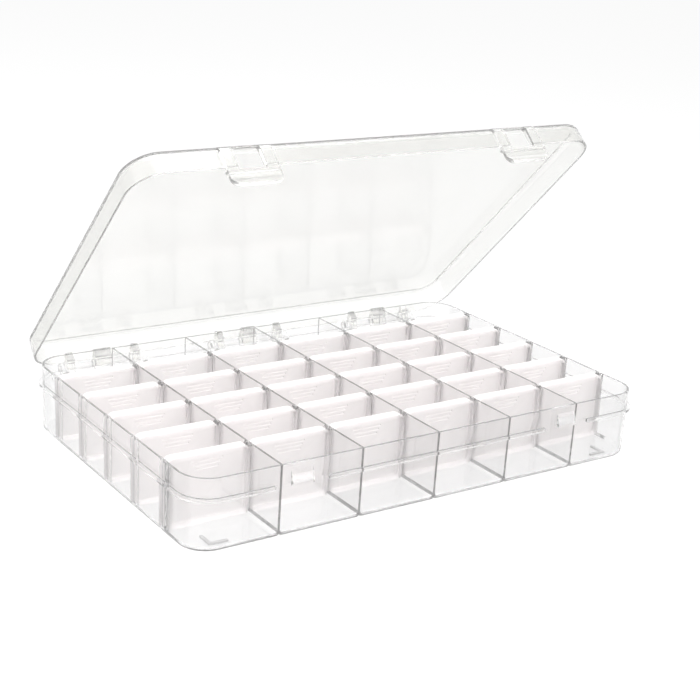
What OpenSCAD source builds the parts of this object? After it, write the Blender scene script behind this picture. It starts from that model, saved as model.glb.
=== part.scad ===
// Clear moulded box for embroidery thread, opened in the photograph pose.
// A tray with five fixed partitions, thirty lift-out dividers and a hinged snap lid.
// X runs along the width, Y from front to back and Z up from the table.

/* [Tray] */
// Width of the tray across its rim
tray_w = 268.8; // [250:0.2:290]
// Depth of the tray across its rim
tray_d = 178; // [165:0.5:190]
// Height of the tray from the underside of its floor to its rim
tray_h = 36.4; // [32:0.2:46]
// Thickness of the four outer walls
wall = 1.2; // [1:0.1:1.6]
// Thickness of the floor
floor_t = 1.4; // [1.2:0.1:1.8]
// How far each outer wall leans in from the rim down to the floor
tray_lean = 0.4; // [0.1:0.1:0.8]
// Radius of the four upright corners at the rim
corner_r = 15; // [10:0.5:20]
// Radius of the rounded bottom edge and of the grooves under the partitions
bottom_r = 3; // [2.4:0.2:3.6]

/* [Partitions and slots] */
// Thickness of a fixed partition
partition_t = 1.2; // [1:0.1:1.6]
// Radius in which a partition runs down into the floor
floor_fillet = 3; // [2.4:0.2:3.4]
// Thickness of one slot rib along the partition
rib_t = 1.8; // [1.2:0.1:2.4]
// How far a slot rib stands out from its wall
rib_out = 1.5; // [1:0.1:2.2]
// Height of the sloping lead-in at the top of a rib
rib_slope = 2.5; // [1:0.5:5]

/* [Dividers] */
// Thickness of a lift-out divider
divider_t = 1.4; // [1:0.1:1.8]
// Clearance on each face of a divider in its slot
slot_gap = 0.2; // [0.2:0.05:0.4]
// Clearance at each end of a divider and under it
end_gap = 0.25; // [0.2:0.05:0.5]
// Radius of the two lower corners of a divider
divider_r = 3.5; // [3.4:0.1:5]
// Length of the longest grip ridge
ridge_w = 16.5; // [12:0.5:24]
// Number of grip ridges
ridge_count = 3; // [1:1:4]
// How much shorter each ridge is than the one above it
ridge_step = 2; // [0.5:0.5:3]
// Height and spacing of the grip ridges
ridge_pitch = 1.95; // [1.6:0.05:2.6]
// How far the grip ridges stand out
ridge_out = 0.5; // [0.3:0.1:0.8]
// Depth of the uppermost ridge below the top edge
ridge_drop = 4.8; // [3:0.2:8]

/* [Flange and feet] */
// How far the flange stands out from the tray wall
flange_out = 1.6; // [1.2:0.1:1.8]
// Thickness of the flange
flange_t = 1.7; // [1.2:0.1:2.4]
// Height of the feet
foot_h = 1; // [0.6:0.2:2]
// Length of each leg of a foot
foot_leg = 9.5; // [6:0.5:14]
// Width of each leg of a foot
foot_t = 1.5; // [1:0.1:2.5]
// Distance of a foot corner from the side of the rim
foot_inset_x = 13.7; // [10:0.5:18]
// Distance of a foot corner from the front or back of the rim
foot_inset_y = 8.5; // [6:0.5:14]

/* [Lid] */
// How far the skirt of the lid comes down over the rim of the tray
lid_overlap = 9.1; // [7:0.1:12]
// Room between the rim of the tray and the panel of the closed lid
head_room = 1.5; // [1.3:0.1:3]
// Thickness of the raised border of the lid panel
panel_t = 1.8; // [1.6:0.1:2.4]
// Depth of the stacking recess in the top of the lid
recess_depth = 0.6; // [0.3:0.1:0.9]
// Distance of the recess from the sides of the lid
recess_side = 5.4; // [5:0.1:9]
// Distance of the recess from the front and back of the lid
recess_end = 6.6; // [5:0.1:9]
// Corner radius of the recess
recess_r = 8; // [7.5:0.5:12]
// Thickness of the lid skirt
skirt_t = 1.2; // [1:0.1:1.5]
// Clearance between the skirt and the rim of the tray
lid_gap = 0.8; // [0.6:0.1:1]
// How far the skirt leans in from its rim up to the panel
lid_lean = 0.4; // [0.1:0.1:0.4]
// Radius of the rounded top edge
lid_r = 3.1; // [2.4:0.1:3.3]
// Gap between the closed skirt and the flange
seat_gap = 0.3; // [0.2:0.05:0.5]
// Angle of the lid above closed
lid_open = 46; // [0:1:180]

/* [Latches] */
// Half the distance between the middles of the two latches
latch_x = 80; // [60:0.5:98]
// How far the pair of latches stands to the right of the middle
latch_shift = 1.7; // [0:0.1:3]
// Width of a latch tab
tab_w = 27.5; // [24:0.5:32]
// Thickness of a latch tab
tab_t = 1.6; // [1.4:0.1:1.8]
// How far a tab reaches below the skirt
tab_drop = 10.7; // [9:0.1:13]
// Radius of the lower corners of a tab
tab_r = 4; // [2:0.5:6]
// How far the finger lip stands out at the foot of a tab
lip_out = 1.1; // [0.5:0.1:1.6]
// Height over which the finger lip slopes back to the tab
lip_slope = 2.2; // [1:0.1:4]
// How far the tab stands out from the skirt
tab_out = 1.6; // [1:0.1:2]
// Width of the window in a tab, between its two arms
window_w = 15; // [13.5:0.5:17]
// Height of lid left above the window
window_land = 2; // [1.8:0.1:4]
// Depth of the window below the edge of the skirt
window_drop = 2.4; // [2:0.1:3.5]
// Height of the ledge inside the tab that hooks under the catch
ledge_h = 2; // [1.2:0.1:3]
// Width of a catch
catch_w = 11.5; // [8:0.5:13]
// Height of a catch
catch_h = 7.1; // [6:0.1:7.6]
// Height of the blunt lower edge of a catch
catch_lip = 1.4; // [0.8:0.1:2]
// Play between the hooked tab and its catch
catch_play = 0.9; // [0.3:0.1:1.2]
// Clearance between a tab and the ends of the flange beside it
tab_gap = 0.75; // [0.5:0.05:1.5]

/* [Hinges] */
// Distance between neighbouring hinges
hinge_pitch = 92; // [75:1:95]
// Length of the bar between the two ears of a hinge
bar_w = 44; // [34:1:50]
// Thickness of an ear
ear_t = 3; // [2:0.2:4]
// Height of the root of an ear below the hinge axis
ear_drop = 5.9; // [4:0.1:8]
// Distance of the hinge axis behind the rim of the tray
hinge_out = 6.3; // [6.1:0.1:7.5]
// Depth of the hinge axis below the edge of the closed skirt
hinge_drop = 0.65; // [0.5:0.05:1]
// Radius of the hinge bar
bar_r = 1.5; // [1.2:0.1:1.6]
// Clearance of a hook round the bar
bar_gap = 0.25; // [0.2:0.05:0.35]
// Material round the bar in an ear and in a hook
boss_t = 1.45; // [1.2:0.05:1.6]
// Width of a hook
hook_w = 4.2; // [3:0.2:6]
// Width of the middle hook of a hinge
mid_hook_w = 10; // [6:0.5:14]
// Height of the root of a hook on the skirt
hook_h = 5.6; // [5:0.2:7]
// Clearance between a hook and the ear beside it
hook_gap = 0.6; // [0.3:0.1:1.5]

/* [Hidden] */
columns = 6;
rows = 6;
function divider_name(column, row) = str("divider_", column, "_", row);

// Distance of the middle of the tray in front of the frame's origin,
// which lies under the middle of the whole box as it stands open
frame_back = 4.4;

// Extra length on a cutting shape, and depth to which a joined shape is sunk
over = 1;
sunk = 0.4;
// Height of the thin discs that end a hull
skin = 0.01;
// Step along the small arcs in degrees
arc_step = 15;
// Smoothness of round shapes in a hull and elsewhere
hull_fn = 48;
round_fn = 64;

// Pitches of the cells, set by the clear space at the floor
inner_w = tray_w - 2 * (wall + tray_lean);
inner_d = tray_d - 2 * (wall + tray_lean);
column_pitch = (inner_w + partition_t) / columns;
row_pitch = (inner_d + divider_t) / rows;

// Heights in the frame
rim_z = foot_h + tray_h;
seat_z = rim_z - lid_overlap;
flange_z = seat_z - seat_gap - flange_t;
axis_y = tray_d / 2 + hinge_out;
axis_z = seat_z - hinge_drop;
skirt_y = tray_d / 2 + lid_gap;
lid_w = tray_w + 2 * (lid_gap + skirt_t);
lid_d = tray_d + 2 * (lid_gap + skirt_t);
lid_h = lid_overlap + head_room + panel_t;
catch_z = seat_z - window_drop + catch_play;
boss_r = bar_r + boss_t;
hook_r = bar_r + bar_gap + boss_t;
tab_y = -skirt_y - skirt_t - tab_out;

// Moves a part drawn round the middle of the tray into the frame
module framed() {
    translate([0, -frame_back, 0]) children();
}

// Repeats a shape at the four corners of a rectangle
module at_corners(width, depth) {
    for (side = [-1, 1], end = [-1, 1]) {
        translate([side * width / 2, end * depth / 2, 0]) children();
    }
}

// Solid with upright round corners, a rounded lower edge and leaning sides.
// The width and depth are those of its top.
module soft_block(width, depth, radius, height, lean, edge) {
    hull() {
        at_corners(width - 2 * radius, depth - 2 * radius) {
            translate([0, 0, height - skin]) cylinder(r = radius, h = skin, $fn = hull_fn);
            translate([0, 0, edge]) rotate_extrude($fn = hull_fn)
                translate([radius - lean - edge, 0]) circle(r = edge, $fn = hull_fn);
        }
    }
}

// Flat outline of a rectangle with round corners
module soft_outline(width, depth, radius) {
    square([width, depth - 2 * radius], center = true);
    square([width - 2 * radius, depth], center = true);
    at_corners(width - 2 * radius, depth - 2 * radius) circle(r = radius, $fn = round_fn);
}

// Turns a profile drawn in X and Z into a bar along Y, centred on Y
module along_y(length) {
    rotate([90, 0, 0]) linear_extrude(height = length, center = true) children();
}

// Turns a profile drawn in Y and Z into a bar along X, centred on X
module along_x(length) {
    rotate([90, 0, 90]) linear_extrude(height = length, center = true) children();
}

// Right half of the arc from a flat floor up into a standing wall
function rising_arc(start, base, radius, end_angle) =
    [for (angle = [0:arc_step:end_angle])
        [start + radius * (1 - sin(angle)), base + radius * (1 - cos(angle))]];

function mirrored(points) =
    [for (index = [len(points) - 1:-1:0]) [-points[index][0], points[index][1]]];

// Partition with its two floor fillets
module partition_profile() {
    arc = rising_arc(partition_t / 2, floor_t, floor_fillet, 90);
    side = concat([[arc[0][0], floor_t - sunk]], arc, [[partition_t / 2, tray_h + over]]);
    polygon(concat(side, mirrored(side)));
}

// Groove under a partition, where two rounded trough bottoms meet
module groove_profile() {
    arc = rising_arc(0, 0, bottom_r, 90 - arc_step);
    side = concat([[bottom_r, -over]], arc);
    polygon(concat(side, mirrored(side)));
}

// Rib that stands out on both sides of a partition and slopes in at its top
module rib_profile() {
    tip = partition_t / 2 + rib_out;
    side = [[tip, floor_t - sunk], [tip, tray_h - rib_slope], [partition_t / 2, tray_h]];
    polygon(concat(side, mirrored(side)));
}

module at_partitions(first, last) {
    for (line = [first:last]) {
        translate([(line - columns / 2) * column_pitch, 0, 0]) children();
    }
}

function slot_y(row) = (row - rows / 2) * row_pitch;

// One row of ribs across the tray, on every partition and both side walls
module rib_row() {
    along_y(rib_t) at_partitions(0, columns) rib_profile();
}

module ribs() {
    for (row = [1:rows - 1], face = [-1, 1]) {
        translate([0, slot_y(row) + face * (divider_t / 2 + slot_gap + rib_t / 2), 0]) rib_row();
    }
}

// The space inside the tray, less its partitions and ribs
module tray_space() {
    depth = tray_h - floor_t + over;
    slope = tray_lean / tray_h;
    difference() {
        translate([0, 0, floor_t]) soft_block(
            tray_w - 2 * wall + 2 * slope * over,
            tray_d - 2 * wall + 2 * slope * over,
            corner_r - wall, depth, slope * depth, bottom_r - wall);
        along_y(tray_d) at_partitions(1, columns - 1) partition_profile();
        ribs();
    }
}

module flange() {
    gap_w = tab_w + 2 * tab_gap;
    inset = wall / 2;
    linear_extrude(height = flange_t) difference() {
        soft_outline(tray_w + 2 * flange_out, tray_d + 2 * flange_out, corner_r + flange_out);
        soft_outline(tray_w - 2 * inset, tray_d - 2 * inset, corner_r - inset);
        at_latches() translate([-gap_w / 2, -tray_d / 2 - 2 * flange_out])
            square([gap_w, 2 * flange_out]);
    }
}

// Wedge that the ledge of the latch tab rides over and hooks under
module latch_catch() {
    wall_y = -tray_d / 2 + wall / 2;
    tip_y = -skirt_y - skirt_t;
    along_x(catch_w) polygon([
        [wall_y, catch_z],
        [tip_y, catch_z],
        [tip_y, catch_z + catch_lip],
        [-tray_d / 2, catch_z + catch_h],
        [wall_y, catch_z + catch_h]]);
}

module at_latches() {
    for (side = [-1, 1]) {
        translate([latch_shift + side * latch_x, 0, 0]) children();
    }
}

// Foot in the shape of an L, drawn at the front left corner
module foot() {
    height = foot_h + sunk;
    cube([foot_leg, foot_t, height]);
    cube([foot_t, foot_leg, height]);
}

module feet() {
    for (side = [0, 1], end = [0, 1]) {
        mirror([side, 0, 0]) mirror([0, end, 0])
            translate([foot_inset_x - tray_w / 2, foot_inset_y - tray_d / 2, 0]) foot();
    }
}

// Ear that carries one end of the hinge bar
module hinge_ear() {
    wall_y = tray_d / 2 - wall / 2;
    shelf_z = axis_z + hinge_drop - seat_gap;
    along_x(ear_t) union() {
        translate([axis_y, axis_z]) circle(r = boss_r, $fn = round_fn);
        polygon([
            [wall_y, axis_z - ear_drop],
            [axis_y, axis_z - boss_r],
            [axis_y, shelf_z],
            [wall_y, shelf_z]]);
    }
}

module at_hinges() {
    for (place = [-1:1]) {
        translate([place * hinge_pitch, 0, 0]) children();
    }
}

module hinge_stand() {
    for (side = [-1, 1]) {
        translate([side * (bar_w + ear_t) / 2, 0, 0]) hinge_ear();
    }
    translate([0, axis_y, axis_z]) rotate([0, 90, 0])
        cylinder(r = bar_r, h = bar_w + ear_t, center = true, $fn = round_fn);
}

module tray() {
    color("gainsboro", 0.6) framed() {
        translate([0, 0, foot_h]) difference() {
            soft_block(tray_w, tray_d, corner_r, tray_h, tray_lean, bottom_r);
            tray_space();
            along_y(tray_d + over) at_partitions(1, columns - 1) groove_profile();
        }
        translate([0, 0, flange_z]) flange();
        at_latches() latch_catch();
        feet();
        at_hinges() hinge_stand();
    }
}

// Panel and skirt of the closed lid, with the recess that takes the feet of a box above
module lid_shell() {
    depth = lid_overlap + head_room + over;
    slope = lid_lean / lid_h;
    translate([0, 0, seat_z + lid_h]) mirror([0, 0, 1]) difference() {
        soft_block(lid_w, lid_d, corner_r + lid_gap + skirt_t, lid_h, lid_lean, lid_r);
        translate([0, 0, panel_t]) soft_block(
            lid_w - 2 * skirt_t + 2 * slope * over,
            lid_d - 2 * skirt_t + 2 * slope * over,
            corner_r + lid_gap, depth, slope * depth, lid_r - skirt_t);
        translate([0, 0, recess_depth - over]) linear_extrude(height = over)
            soft_outline(lid_w - 2 * recess_side, lid_d - 2 * recess_end, recess_r);
    }
}

// Side view of the tab: finger lip, plate, inner ledge and the arms that run up to the panel
module tab_side() {
    low_z = seat_z - tab_drop;
    ledge_z = seat_z - window_drop;
    top_z = seat_z + lid_h;
    inner_y = tab_y + tab_t;
    polygon([
        [inner_y, low_z],
        [tab_y - lip_out, low_z],
        [tab_y - lip_out, low_z + lip_out],
        [tab_y, low_z + lip_out + lip_slope],
        [tab_y, top_z - lid_r - tab_out / 2],
        [-skirt_y - skirt_t, top_z - lid_r / 2],
        [-skirt_y, top_z - panel_t / 2],
        [-skirt_y - skirt_t / 2, seat_z],
        [-skirt_y - skirt_t + sunk, seat_z],
        [inner_y, seat_z - sunk],
        [inner_y, ledge_z],
        [-skirt_y, ledge_z],
        [-skirt_y, ledge_z - ledge_h / 2],
        [inner_y, ledge_z - ledge_h]]);
}

// Latch tab in the shape of a U, whose two arms run up the skirt
module latch_tab() {
    low_z = seat_z - tab_drop;
    height = tab_drop + lid_h;
    difference() {
        intersection() {
            along_x(tab_w) tab_side();
            translate([0, -skirt_y, low_z + height / 2]) along_y(tray_d / 2)
                soft_bottom(tab_w, height, tab_r);
        }
        translate([-window_w / 2, tab_y - over, seat_z - window_drop])
            cube([window_w, tab_out + over, lid_h + window_drop + over]);
    }
}

// Upright rectangle whose two lower corners are round
module soft_bottom(width, height, radius) {
    translate([-width / 2, radius - height / 2]) square([width, height - radius]);
    translate([radius - width / 2, -height / 2]) square([width - 2 * radius, radius]);
    for (side = [-1, 1]) {
        translate([side * (width / 2 - radius), radius - height / 2])
            circle(r = radius, $fn = round_fn);
    }
}

// Window through the skirt and the tab, which also lets the mould reach the ledge
module latch_window() {
    depth = over - tab_y - skirt_y + skirt_t;
    translate([-window_w / 2, tab_y - over, seat_z - window_drop])
        cube([window_w, depth, window_drop + lid_h - window_land]);
}

// Hook that grips the hinge bar, drawn at the middle of the box
module hook(width) {
    root_y = skirt_y + skirt_t / 2;
    along_x(width) difference() {
        union() {
            translate([axis_y, axis_z]) circle(r = hook_r, $fn = round_fn);
            polygon([
                [root_y, seat_z + hinge_drop],
                [axis_y - hook_r, axis_z],
                [axis_y, axis_z],
                [axis_y, axis_z + hook_r],
                [root_y, seat_z + hook_h]]);
        }
        translate([axis_y, axis_z]) circle(r = bar_r + bar_gap, $fn = round_fn);
    }
}

module closed_lid() {
    difference() {
        union() {
            lid_shell();
            at_latches() latch_tab();
        }
        at_latches() latch_window();
    }
    at_hinges() {
        hook(mid_hook_w);
        for (side = [-1, 1]) {
            translate([side * (bar_w / 2 - hook_gap - hook_w / 2), 0, 0]) hook(hook_w);
        }
    }
}

module lid() {
    color("lavender", 0.5) framed()
        translate([0, axis_y, axis_z]) rotate([-lid_open, 0, 0]) translate([0, -axis_y, -axis_z])
            closed_lid();
}

// Plate of a divider with round lower corners, its foot at zero
module divider_plate(width, height) {
    along_y(divider_t) translate([0, height / 2]) soft_bottom(width, height, divider_r);
}

// Grip ridges, the longest at the top
module grip_ridges(top) {
    for (index = [0:ridge_count - 1]) {
        length = ridge_w - index * ridge_step;
        translate([
            -length / 2,
            -divider_t / 2 - ridge_out,
            top - ridge_drop - index * ridge_pitch])
            cube([length, ridge_out + divider_t / 2, ridge_pitch / 2]);
    }
}

module divider(column, row) {
    width = column_pitch - partition_t - 2 * end_gap;
    height = tray_h - floor_t - end_gap;
    place_x = (column - (columns + 1) / 2) * column_pitch;
    color("aliceblue", 0.7) framed()
        translate([place_x, slot_y(row), foot_h + floor_t + end_gap]) {
            divider_plate(width, height);
            grip_ridges(height);
        }
}

tray();
lid();
for (column = [1:columns], row = [1:rows - 1]) {
    divider(column, row);
}
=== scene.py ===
# %% [markdown]
# # A clear box for embroidery thread
# The real box is moulded from clear plastic: a tray with five fixed partitions, loose dividers
# that drop into ribbed slots, and a lid that snaps shut. The solids come from the frame, so this
# lesson is about how such a box is dressed: how clear plastic is made to show itself on a white
# table, and how sharp machine-made edges are softened as a mould softens them.

# %% Frame
import math

import bpy
from mathutils import Matrix, Quaternion, Vector


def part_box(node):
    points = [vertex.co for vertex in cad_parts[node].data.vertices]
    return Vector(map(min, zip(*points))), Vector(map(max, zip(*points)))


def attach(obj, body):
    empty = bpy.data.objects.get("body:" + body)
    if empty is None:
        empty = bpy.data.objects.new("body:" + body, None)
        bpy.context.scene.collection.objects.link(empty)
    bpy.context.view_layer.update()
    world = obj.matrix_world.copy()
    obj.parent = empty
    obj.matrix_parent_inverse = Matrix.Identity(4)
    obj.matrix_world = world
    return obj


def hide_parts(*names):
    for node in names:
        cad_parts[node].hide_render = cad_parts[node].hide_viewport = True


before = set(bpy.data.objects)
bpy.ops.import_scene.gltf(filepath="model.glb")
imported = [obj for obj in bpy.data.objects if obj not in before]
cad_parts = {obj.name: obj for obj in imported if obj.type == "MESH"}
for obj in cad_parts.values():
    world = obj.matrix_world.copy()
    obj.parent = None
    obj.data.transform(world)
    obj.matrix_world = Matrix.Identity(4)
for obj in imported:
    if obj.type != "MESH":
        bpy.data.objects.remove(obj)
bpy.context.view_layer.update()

MM = 0.001
print("solids in the frame:", len(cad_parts))

# %% [markdown]
# ## Camera
# The photograph looks down on the box from the front left with a long lens, and leans a little.
# A lens, a place and a point to look at are enough to set a camera. The lean is a turn round the
# line of sight, so it is kept apart from the aim and can be read at a glance.

# %% Camera
lens_mm = 75.0
sensor_mm = 36.0
camera_place = Vector((-413.0, -602.4, 298.7)) * MM
camera_aim = Vector((13.8, 6.1, 46.1)) * MM
camera_lean = math.radians(3.47)

camera_data = bpy.data.cameras.new("camera")
camera_data.lens = lens_mm
camera_data.sensor_width = sensor_mm
camera = bpy.data.objects.new("camera", camera_data)
bpy.context.scene.collection.objects.link(camera)
aim_turn = (camera_aim - camera_place).to_track_quat("-Z", "Y")
camera.location = camera_place
camera.rotation_mode = "QUATERNION"
camera.rotation_quaternion = aim_turn @ Quaternion((0, 0, 1), camera_lean)
bpy.context.scene.camera = camera
bpy.context.scene.view_settings.view_transform = "Standard"
print("camera to aim, mm:", round((camera_aim - camera_place).length / MM))

# %% [markdown]
# ## How far light may travel
# A line of sight through this box crosses a dozen walls, and each wall is two surfaces. A
# renderer gives up after a set number of crossings and paints what is left black, so clear
# objects with many walls need a higher limit than solid ones.

# %% Light travel
cycles = bpy.context.scene.cycles
cycles.max_bounces = 40
cycles.transmission_bounces = 40
cycles.transparent_max_bounces = 64
print("crossings allowed:", cycles.transmission_bounces)

# %% [markdown]
# ## Helpers for colour and nodes
# Colours are chosen as they look on a screen, in hex, but light adds up in linear values, so one
# function turns the first into the second. A second one adds a node with its settings and links.

# %% Helpers for colour and nodes
def linear(hex_colour):
    parts = [int(hex_colour[at:at + 2], 16) / 255 for at in (1, 3, 5)]
    return tuple(p / 12.92 if p <= 0.04045 else ((p + 0.055) / 1.055) ** 2.4 for p in parts)


def rgba(hex_colour):
    return (*linear(hex_colour), 1.0)


def add_node(tree, kind, settings=None, links=None):
    node = tree.nodes.new(kind)
    for name, value in (settings or {}).items():
        if isinstance(name, str) and name not in node.inputs:
            setattr(node, name, value)
        else:
            node.inputs[name].default_value = value
    for name, source in (links or {}).items():
        tree.links.new(source, node.inputs[name])
    return node


def new_material(name):
    material = bpy.data.materials.new(name)
    material.use_nodes = True
    material.node_tree.nodes.clear()
    return material, material.node_tree


print("mid grey in linear light:", round(linear("#808080")[0], 3))

# %% [markdown]
# ## Table and world
# A clear box on a white table is lit by what surrounds it. The table and the world show the
# camera, mirrors and clear plastic a plain white, while the light that falls on the box is set
# apart at a lower level, so nothing on it burns out. The table still takes the soft shadow.

# %% Table and world
table_size = 6.0
table_hex = "#fafafa"
white_hex = "#ffffff"
seen_strength = 1.0
room_strength = 0.8
table_glow = 0.8


def seen_directly(tree):
    path = add_node(tree, "ShaderNodeLightPath")
    seen = add_node(tree, "ShaderNodeMath", {"operation": "ADD"},
                    {0: path.outputs["Is Camera Ray"], 1: path.outputs["Is Glossy Ray"]})
    return add_node(tree, "ShaderNodeMath", {"operation": "ADD", "use_clamp": True},
                    {0: seen.outputs[0], 1: path.outputs["Is Transmission Ray"]})


bpy.ops.object.select_all(action="DESELECT")
bpy.ops.mesh.primitive_plane_add(size=table_size, location=(0, 0, 0))
table = bpy.context.object
table.name = "table"

table_paint, tree = new_material("white_table")
seen = seen_directly(tree)
share = add_node(tree, "ShaderNodeMath", {"operation": "MULTIPLY", 1: table_glow},
                 {0: seen.outputs[0]})
matt = add_node(tree, "ShaderNodeBsdfDiffuse", {"Color": rgba(table_hex)})
glow = add_node(tree, "ShaderNodeEmission",
                {"Color": rgba(white_hex), "Strength": seen_strength})
both = add_node(tree, "ShaderNodeMixShader", None,
                {0: share.outputs[0], 1: matt.outputs[0], 2: glow.outputs[0]})
add_node(tree, "ShaderNodeOutputMaterial", None, {"Surface": both.outputs[0]})
table.data.materials.append(table_paint)

world = bpy.data.worlds.new("white_room")
bpy.context.scene.world = world
world.use_nodes = True
tree = world.node_tree
tree.nodes.clear()
seen = seen_directly(tree)
room = add_node(tree, "ShaderNodeBackground",
                {"Color": rgba(white_hex), "Strength": room_strength})
white = add_node(tree, "ShaderNodeBackground",
                 {"Color": rgba(white_hex), "Strength": seen_strength})
both = add_node(tree, "ShaderNodeMixShader", None,
                {0: seen.outputs[0], 1: room.outputs[0], 2: white.outputs[0]})
add_node(tree, "ShaderNodeOutputWorld", None, {"Surface": both.outputs[0]})
print("table side, m:", table_size)

# %% [markdown]
# ## Lamps
# Two large soft boxes stand where a product photographer would put them, one above and a weaker
# one to the left. Small lamps would draw hard sparkles on every wall, large ones give long calm
# highlights along the rims.

# %% Lamps
lamp_aim = Vector((0, 0, 0.05))
lamps = {
    "top_softbox": {"place": (0.1, 0.2, 1.3), "side": 1.2, "watts": 11.0},
    "left_softbox": {"place": (-1.1, -0.5, 0.9), "side": 0.8, "watts": 6.0},
}
for name, setting in lamps.items():
    data = bpy.data.lights.new(name, "AREA")
    data.size = setting["side"]
    data.energy = setting["watts"]
    lamp = bpy.data.objects.new(name, data)
    bpy.context.scene.collection.objects.link(lamp)
    lamp.location = setting["place"]
    lamp.rotation_euler = (lamp_aim - lamp.location).to_track_quat("-Z", "Y").to_euler()
print("lamps:", len(lamps))

# %% [markdown]
# ## Tray and lid
# Both are single mouldings, and the solids from the frame have their exact shape, but a solid
# arrives as loose flat triangles. Clear plastic shows every one of them as a facet. So each gets
# a copy whose points are merged and whose flat faces are made whole. Rounded corners are then
# shaded as one curve, and edges sharper than the limit angle stay crisp. Weighted normals keep
# the large faces flat right up to a curve. The copy rides on the same body as its solid.

# %% Tray and lid
crisp_angle = math.radians(32)
flat_angle = math.radians(0.5)
merge_distance = 0.002 * MM
flat_face_weight = 100


def select_only(piece):
    bpy.ops.object.select_all(action="DESELECT")
    piece.select_set(True)
    bpy.context.view_layer.objects.active = piece


def moulding_of(body):
    piece = bpy.data.objects.new(body + "_moulding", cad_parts[body].data.copy())
    bpy.context.scene.collection.objects.link(piece)
    select_only(piece)
    bpy.ops.object.mode_set(mode="EDIT")
    bpy.ops.mesh.select_all(action="SELECT")
    bpy.ops.mesh.remove_doubles(threshold=merge_distance)
    bpy.ops.mesh.dissolve_limited(angle_limit=flat_angle)
    bpy.ops.object.mode_set(mode="OBJECT")
    bpy.ops.object.shade_smooth_by_angle(angle=crisp_angle)
    flatten = piece.modifiers.new("flat_faces_stay_flat", "WEIGHTED_NORMAL")
    flatten.weight = flat_face_weight
    flatten.keep_sharp = True
    bpy.ops.object.modifier_apply(modifier=flatten.name)
    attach(piece, body)
    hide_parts(body)
    print(piece.name, "points:", len(piece.data.vertices))
    return piece


tray_moulding = moulding_of("tray")
lid_moulding = moulding_of("lid")

# %% [markdown]
# ## Dividers
# A divider is a thin plate with two round lower corners, so that it slides past the fillets of
# the floor, and with three raised grip ridges for the finger on its front. All thirty come out of
# one mould, so one is modelled and copied. It starts as a block of the plate's size, and a bevel
# was meant to round its two lower corners alone. It doesn't, and this is a known fault: a new
# block is selected all over, edit mode keeps that selection, and so the bevel takes every edge.
# Its offset is larger than the plate is thick, so the rim of the plate swells and crosses itself.
# The last line prints the size that was meant and the size that was made, and they differ.

# %% Divider plate
divider_names = sorted(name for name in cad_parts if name.startswith("divider"))
ridge_stand = 0.5 * MM
corner_radius = 3.5 * MM
corner_segments = 8
low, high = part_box(divider_names[0])
plate_size = Vector((high.x - low.x, high.y - low.y - ridge_stand, high.z - low.z))


def add_block(size, place):
    bpy.ops.object.select_all(action="DESELECT")
    bpy.ops.mesh.primitive_cube_add(size=1.0, location=place)
    bpy.context.object.scale = size
    bpy.ops.object.transform_apply(location=True, rotation=True, scale=True)
    return bpy.context.object


def extent(piece):
    points = [vertex.co for vertex in piece.data.vertices]
    return [max(p[axis] for p in points) - min(p[axis] for p in points) for axis in range(3)]


plate = add_block(plate_size, (0, 0, plate_size.z / 2))
for edge in plate.data.edges:
    ends = [plate.data.vertices[i].co for i in edge.vertices]
    edge.select = max(ends[0].z, ends[1].z) < MM and abs(ends[0].x - ends[1].x) < MM
bpy.ops.object.mode_set(mode="EDIT")
bpy.ops.mesh.select_mode(type="EDGE")
bpy.ops.mesh.bevel(offset=corner_radius, segments=corner_segments, affect="EDGES")
bpy.ops.object.mode_set(mode="OBJECT")
print("plate meant, mm:", [round(side / MM, 1) for side in plate_size])
print("plate made, mm:", [round(side / MM, 1) for side in extent(plate)])

# %% [markdown]
# ## Grip ridges
# Three raised bars, each shorter than the one above, give a fingertip something to pull on. A bar
# that only lay against the plate would leave a hidden wall inside the plastic. So each one is sunk
# a little into the plate and joined to it as a solid.

# %% Grip ridges
ridge_count = 3
ridge_length = 16.5 * MM
ridge_shorter = 2.0 * MM
ridge_pitch = 1.95 * MM
ridge_drop = 4.8 * MM
ridge_sunk = 0.4 * MM


def join_solid(piece, other):
    modifier = piece.modifiers.new("join", "BOOLEAN")
    modifier.operation = "UNION"
    modifier.object = other
    select_only(piece)
    bpy.ops.object.modifier_apply(modifier=modifier.name)
    bpy.data.objects.remove(other)


for index in range(ridge_count):
    size = Vector((ridge_length - index * ridge_shorter, ridge_stand + ridge_sunk,
                   ridge_pitch / 2))
    foot = plate_size.z - ridge_drop - index * ridge_pitch
    front = -plate_size.y / 2 - ridge_stand
    join_solid(plate, add_block(size, (0, front + size.y / 2, foot + size.z / 2)))
print("faces on the plate with its ridges:", len(plate.data.polygons))

# %% [markdown]
# ## Broken edges
# No mould gives a perfectly sharp edge. A last fine bevel breaks every edge of the plate. It
# catches the light, and that thin line is what makes moulded plastic read.

# %% Broken edges
broken_edge = 0.18 * MM
broken_edge_segments = 2

soften = plate.modifiers.new("broken_edge", "BEVEL")
soften.width = broken_edge
soften.segments = broken_edge_segments
soften.limit_method = "ANGLE"
soften.angle_limit = crisp_angle
select_only(plate)
bpy.ops.object.modifier_apply(modifier=soften.name)
bpy.ops.object.shade_smooth_by_angle(angle=crisp_angle)
print("faces after the bevel:", len(plate.data.polygons))

# %% [markdown]
# ## Thirty dividers
# Every slot takes the same plate. Each divider gets a mesh of its own, moved to where its solid
# stands in the frame, so that it can be lifted out alone.

# %% Thirty dividers
dividers = []
for name in divider_names:
    low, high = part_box(name)
    piece = bpy.data.objects.new(name + "_moulding", plate.data.copy())
    bpy.context.scene.collection.objects.link(piece)
    place = Vector(((low.x + high.x) / 2, high.y - plate_size.y / 2, low.z))
    piece.data.transform(Matrix.Translation(place))
    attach(piece, name)
    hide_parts(name)
    dividers.append(piece)
bpy.data.objects.remove(plate)
print("dividers:", len(dividers))

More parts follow.
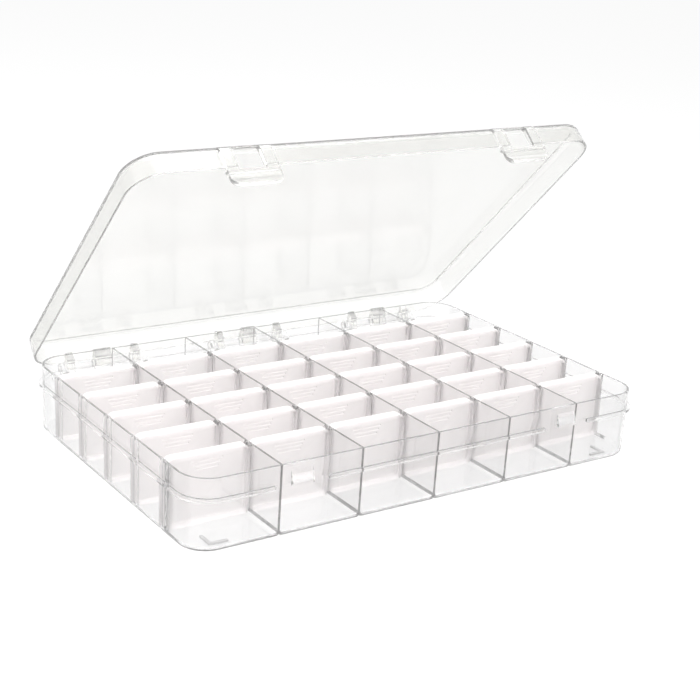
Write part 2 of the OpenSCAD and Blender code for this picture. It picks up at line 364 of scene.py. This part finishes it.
# %% [markdown]
# ## Clear styrene
# Tray and lid are crystal polystyrene, injected hot into a polished steel mould. It is as clear
# as window glass, with faint flow waves. What makes it show is its thickness: light that runs
# along a wall instead of across it loses a little on every millimetre, so edges look grey and
# faces look empty. Volume absorption does this by itself. In a perfect slab that light could
# never get out again, and edges would turn black. Real walls have fine scratches and waves that
# let some of it out on the way, and a small clear share in the surface stands for them. Lamps
# would cast hard dark shadows through such walls, so shadow rays pass them almost unchanged.
# The flow waves are spaced as the melt leaves them, a finger's width apart, and are kept so
# shallow that they only unsettle a reflection.

# %% Clear styrene
flow_wave_mm = 14.0
wave_depth_mm = 0.008
wave_detail = 2.0
wave_roughness = 0.45
bump_strength = 0.35
styrene_ior = 1.49
least_gloss = 0.9
most_gloss = 1.2
see_through_hex = "#fefefe"
styrene_in_shadow = 1.0


def flow_waves(tree):
    place = add_node(tree, "ShaderNodeTexCoord")
    waves = add_node(tree, "ShaderNodeTexNoise",
                     {"Scale": 1 / (flow_wave_mm * MM), "Detail": wave_detail,
                      "Roughness": wave_roughness},
                     {"Vector": place.outputs["Object"]})
    bump = add_node(tree, "ShaderNodeBump",
                    {"Strength": bump_strength, "Distance": wave_depth_mm * MM},
                    {"Height": waves.outputs[0]})
    return waves, bump


def between(tree, source, low, high):
    return add_node(tree, "ShaderNodeMapRange", {"To Min": low, "To Max": high},
                    {"Value": source.outputs[0]})


def clear_share(tree, at_sight, in_shadow):
    path = add_node(tree, "ShaderNodeLightPath")
    return add_node(tree, "ShaderNodeMapRange", {"To Min": at_sight, "To Max": in_shadow},
                    {"Value": path.outputs["Is Shadow Ray"]})


def clear_styrene(name, body_hex, polish, mirror, leak, loss_hex, loss_per_metre):
    material, tree = new_material(name)
    waves, bump = flow_waves(tree)
    gloss = between(tree, waves, polish * least_gloss, polish * most_gloss)
    body = add_node(tree, "ShaderNodeBsdfPrincipled",
                    {"Base Color": rgba(body_hex), "IOR": styrene_ior,
                     "Transmission Weight": 1.0, "Specular IOR Level": mirror},
                    {"Roughness": gloss.outputs[0], "Normal": bump.outputs[0]})
    through = add_node(tree, "ShaderNodeBsdfTransparent",
                       {"Color": rgba(see_through_hex)})
    share = clear_share(tree, leak, styrene_in_shadow)
    surface = add_node(tree, "ShaderNodeMixShader", None,
                       {0: share.outputs[0], 1: body.outputs[0], 2: through.outputs[0]})
    loss = add_node(tree, "ShaderNodeVolumeAbsorption",
                    {"Color": rgba(loss_hex), "Density": loss_per_metre})
    add_node(tree, "ShaderNodeOutputMaterial", None,
             {"Surface": surface.outputs[0], "Volume": loss.outputs[0]})
    return material


edge_grey = {"loss_hex": "#868688", "loss_per_metre": 6.0}
tray_plastic = clear_styrene("clear_styrene_tray", body_hex="#fefefe", polish=0.03,
                             mirror=0.5, leak=0.09, **edge_grey)
# Ribs: their pale grey body colour is a light painted shade, so that they read as grey bands.
rib_painted_shade_plastic = clear_styrene("matt_styrene_rib_painted_shade", body_hex="#f2f1f2", polish=0.3,
                            mirror=0.5, leak=0.28, **edge_grey)
# Feet: their dark grey body colour is painted shade, standing for the shadow in the narrow gap
# under the floor.
foot_painted_shade_plastic = clear_styrene("matt_styrene_foot_painted_shade", body_hex="#a4a3a4", polish=0.35,
                             mirror=0.5, leak=0.03, **edge_grey)
lid_plastic = clear_styrene("clear_styrene_lid", body_hex="#fffffd", polish=0.12,
                            mirror=0.15, leak=0.1, loss_hex="#8c8a84", loss_per_metre=5.0)
print("wave length, mm:", flow_wave_mm)

# %% [markdown]
# ## Milky polypropylene
# The dividers are a softer, milkier plastic. Light scatters inside the thin plate and comes out
# again on both sides, so a plate glows where light falls on its back. A translucent shader gives
# the light that comes through, the main shader what comes back, and a small clear share lets the
# next plate be guessed.

# %% Milky polypropylene
polypropylene_ior = 1.49
least_rough = 0.28
most_rough = 0.45
plate_in_shadow = 0.9


def milky_polypropylene(name, body_hex, glow_hex, let_through, see_through):
    material, tree = new_material(name)
    waves, bump = flow_waves(tree)
    gloss = between(tree, waves, least_rough, most_rough)
    body = add_node(tree, "ShaderNodeBsdfPrincipled",
                    {"Base Color": rgba(body_hex), "IOR": polypropylene_ior},
                    {"Roughness": gloss.outputs[0], "Normal": bump.outputs[0]})
    back_light = add_node(tree, "ShaderNodeBsdfTranslucent", {"Color": rgba(glow_hex)})
    plate = add_node(tree, "ShaderNodeMixShader", {0: let_through},
                     {1: body.outputs[0], 2: back_light.outputs[0]})
    clear = add_node(tree, "ShaderNodeBsdfTransparent",
                     {"Color": rgba(see_through_hex)})
    share = clear_share(tree, see_through, plate_in_shadow)
    surface = add_node(tree, "ShaderNodeMixShader", None,
                       {0: share.outputs[0], 1: plate.outputs[0], 2: clear.outputs[0]})
    add_node(tree, "ShaderNodeOutputMaterial", None, {"Surface": surface.outputs[0]})
    return material


divider_plastic = milky_polypropylene("milky_polypropylene_divider", body_hex="#fcf9f9",
                                      glow_hex="#fefcfc", let_through=0.5, see_through=0.26)
print("plate roughness:", least_rough, "to", most_rough)

# %% [markdown]
# ## Dressing the pieces
# A copied mesh keeps the plain material of its solid, so the slots are emptied first. The tray
# gets two more materials after its own, for the ribs and the feet of the next step.

# %% Dressing the pieces
def dress(piece, *paints):
    piece.data.materials.clear()
    for paint in paints:
        piece.data.materials.append(paint)


dress(tray_moulding, tray_plastic, rib_painted_shade_plastic, foot_painted_shade_plastic)
dress(lid_moulding, lid_plastic)
for divider in dividers:
    dress(divider, divider_plastic)
print("dressed:", 2 + len(dividers))

# %% [markdown]
# ## Matt ribs and feet with painted shade
# The narrow grooves of a mould that form slot ribs and feet are hard to polish. They are often
# cut by sparks and left finely pitted, so these faces get a matt finish. Their colour is also
# painted darker than the tray's: a light painted shade makes the ribs read as pale grey bands, and
# a deep painted shade makes the feet grey marks under the floor, standing for the shadow in the
# gap beneath them. These faces are found by their size and place. The sizes of ribs and feet are
# those of the solid.

# %% Matt ribs and feet with painted shade
rib_width = 1.8 * MM
rib_stand = 1.5 * MM
rib_height = 20 * MM
rib_zone = 70 * MM
foot_height = 1.0 * MM
slack = 0.25 * MM
squarely = 0.9
rib_slot, foot_slot = 1, 2


def reach(mesh, face):
    corners = [mesh.vertices[i].co for i in face.vertices]
    low = Vector([min(c[axis] for c in corners) for axis in range(3)])
    high = Vector([max(c[axis] for c in corners) for axis in range(3)])
    return low, high


def on_rib(face, low, high):
    size = high - low
    tall = size.z > rib_height
    inside = max(abs(low.y), abs(high.y)) < rib_zone
    tip = abs(size.y - rib_width) < slack and abs(face.normal.x) > squarely
    side = abs(size.x - rib_stand) < slack and abs(face.normal.y) > squarely
    return tall and inside and (tip or side)


rib_faces = 0
foot_faces = 0
for face in tray_moulding.data.polygons:
    low, high = reach(tray_moulding.data, face)
    if on_rib(face, low, high):
        face.material_index = rib_slot
        rib_faces += 1
    elif low.z < slack and high.z < foot_height + slack:
        face.material_index = foot_slot
        foot_faces += 1
print("matt rib faces:", rib_faces, "matt foot faces:", foot_faces)
